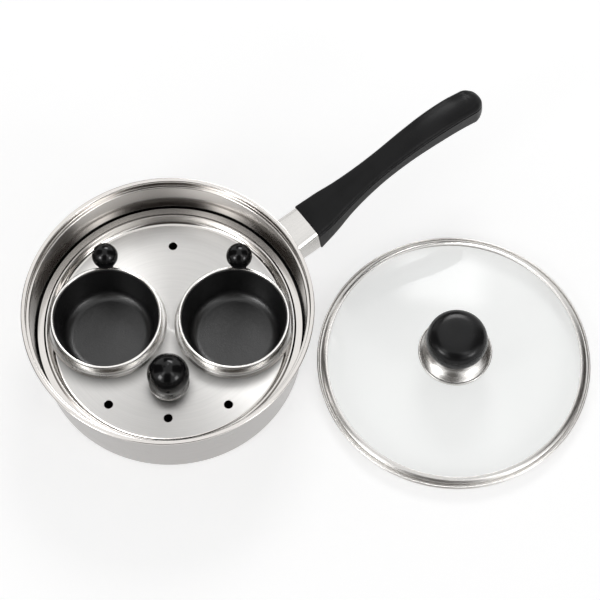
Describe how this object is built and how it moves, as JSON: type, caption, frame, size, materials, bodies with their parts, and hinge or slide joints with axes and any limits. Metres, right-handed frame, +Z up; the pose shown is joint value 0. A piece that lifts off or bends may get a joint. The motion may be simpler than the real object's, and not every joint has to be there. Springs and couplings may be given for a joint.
{
  "type": "egg poacher pan",
  "caption": "Stainless steel egg poaching saucepan with a waisted side handle, a lift-out plate holding round non-stick cups, and a domed glass lid lying beside it.",
  "frame": {"origin": "centre of the underside of the pan's base, on the pan's axis", "axes": "+Z up along the pan's axis; +X from the left cup to the right cup and on to the lid; +Y to the back, the side the cup knobs and the handle are on"},
  "size_m": [0.3352, 0.2335, 0.0739],
  "materials": {
    "polished_steel": "polished",
    "base_steel": "satin",
    "base_aluminium": "satin",
    "ferrule_steel": "satin",
    "plate_steel": "fine brushed",
    "cup_steel": "polished",
    "rim_steel": "polished",
    "fastener_steel": "satin",
    "satin_black": "satin",
    "gloss_black": "glossy",
    "nonstick_black": "matte non-stick coating",
    "gasket_rubber": "matte",
    "lid_glass": "clear toughened glass"
  },
  "bodies": {
    "pan": {"pan_body": "polished_steel", "base_cap": "base_steel", "base_core": "base_aluminium", "handle_bracket": "base_steel", "handle_ferrule": "ferrule_steel", "handle_grip": "satin_black", "handle_screw": "fastener_steel"},
    "plate": {"poacher_plate": "plate_steel", "plate_knob": "gloss_black", "plate_knob_collar": "polished_steel", "plate_knob_washer": "fastener_steel", "plate_knob_screw": "fastener_steel"},
    "cup_left": {"cup_left_shell": "cup_steel", "cup_left_lining": "nonstick_black", "cup_left_tab": "fastener_steel", "cup_left_knob": "gloss_black", "cup_left_screw": "fastener_steel"},
    "cup_right": {"cup_right_shell": "cup_steel", "cup_right_lining": "nonstick_black", "cup_right_tab": "fastener_steel", "cup_right_knob": "gloss_black", "cup_right_screw": "fastener_steel"},
    "lid": {"lid_glass": "lid_glass", "lid_rim": "rim_steel", "lid_knob": "satin_black", "lid_knob_base": "polished_steel", "lid_gasket_upper": "gasket_rubber", "lid_gasket_lower": "gasket_rubber", "lid_washer": "fastener_steel", "lid_screw": "fastener_steel"}
  },
  "joints": [
    {"name": "plate_lift", "type": "slide", "parent": "pan", "child": "plate", "axis": [0, 0, 1], "range_m": [0, 0.08]},
    {"name": "cup_left_lift", "type": "slide", "parent": "plate", "child": "cup_left", "axis": [0, 0, 1], "range_m": [0, 0.06]},
    {"name": "cup_right_lift", "type": "slide", "parent": "plate", "child": "cup_right", "axis": [0, 0, 1], "range_m": [0, 0.06]},
    {"name": "lid_lift", "type": "slide", "parent": "pan", "child": "lid", "axis": [0, 0, 1], "range_m": [0, 0.09]}
  ]
}
